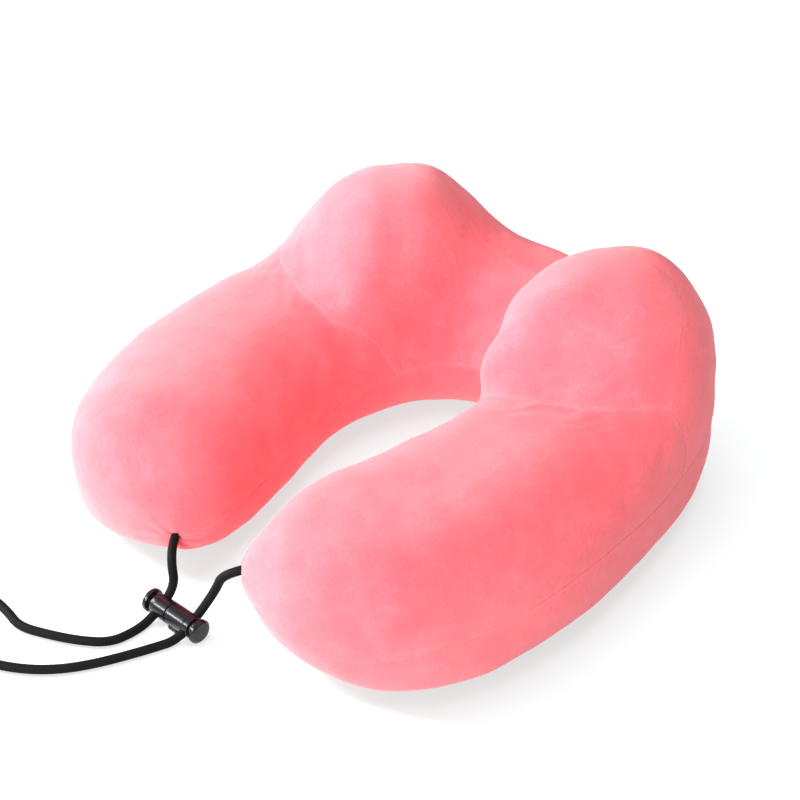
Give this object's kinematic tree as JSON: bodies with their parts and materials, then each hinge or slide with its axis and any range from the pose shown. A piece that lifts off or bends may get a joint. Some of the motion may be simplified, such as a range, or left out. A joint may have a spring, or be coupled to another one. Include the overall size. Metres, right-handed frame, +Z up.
{
  "type": "u shaped neck pillow",
  "caption": "U-shaped travel neck pillow with raised head rests, a foam core in a zip-off pile cover, and a front drawstring held by a double-ended cord lock.",
  "frame": {"origin": "middle of the pillow's footprint, on the surface it lies on, measured without the drawstring and its lock", "axes": "+Z up, +X to the wearer's right-hand arm seen from the opening, opening towards -Y, back towards +Y"},
  "size_m": [0.2943, 0.3982, 0.1282],
  "materials": {
    "velour": "short pile velour",
    "foam": "open cell foam",
    "liner": "thin knitted jersey",
    "zip_tape": "woven tape",
    "zip_teeth": "moulded nylon",
    "zip_metal": "enamelled die casting",
    "cord": "braided nylon",
    "thread": "twisted polyester thread",
    "lock_plastic": "polished moulding",
    "spring_steel": "drawn wire"
  },
  "bodies": {
    "pillow": {"foam_core": "foam", "inner_liner": "liner", "arm_panel_left": "velour", "arm_panel_right": "velour", "head_rest_inner_panel": "velour", "outer_band_panel": "velour", "bottom_panel": "velour", "zip_tape_upper": "zip_tape", "zip_tape_lower": "zip_tape", "zip_chain_upper": "zip_teeth", "zip_chain_lower": "zip_teeth", "zip_top_stop": "zip_metal", "zip_bottom_stop": "zip_metal", "drawstring_cord": "cord", "cord_bar_tack_left": "thread", "cord_bar_tack_right": "thread", "cord_lock_barrel": "lock_plastic", "cord_lock_spring": "spring_steel"},
    "lock_button_left": {"cord_lock_button_left": "lock_plastic"},
    "lock_button_right": {"cord_lock_button_right": "lock_plastic"},
    "zip_slider": {"zip_slider": "zip_metal"},
    "zip_pull_tab": {"zip_pull_tab": "zip_metal"}
  },
  "joints": [
    {"name": "left_button", "type": "slide", "parent": "pillow", "child": "lock_button_left", "axis": [1, 0, 0], "range_m": [0, 0.002], "stiffness_N_per_m": 400, "springref_m": -0.002, "deforming": ["cord_lock_spring"]},
    {"name": "right_button", "type": "slide", "parent": "pillow", "child": "lock_button_right", "axis": [-1, 0, 0], "range_m": [0, 0.002], "stiffness_N_per_m": 400, "springref_m": -0.002, "deforming": ["cord_lock_spring"]},
    {"name": "zip_travel", "type": "hinge", "parent": "pillow", "child": "zip_slider", "pos_m": [0, -0.221, 0.036], "axis": [0, 0, 1], "range_deg": [0, 15.7]},
    {"name": "pull_tab_swing", "type": "hinge", "parent": "zip_slider", "child": "zip_pull_tab", "pos_m": [0.05098, 0.14724, 0.036], "axis": [0, 0, -1], "range_deg": [0, 165]}
  ]
}
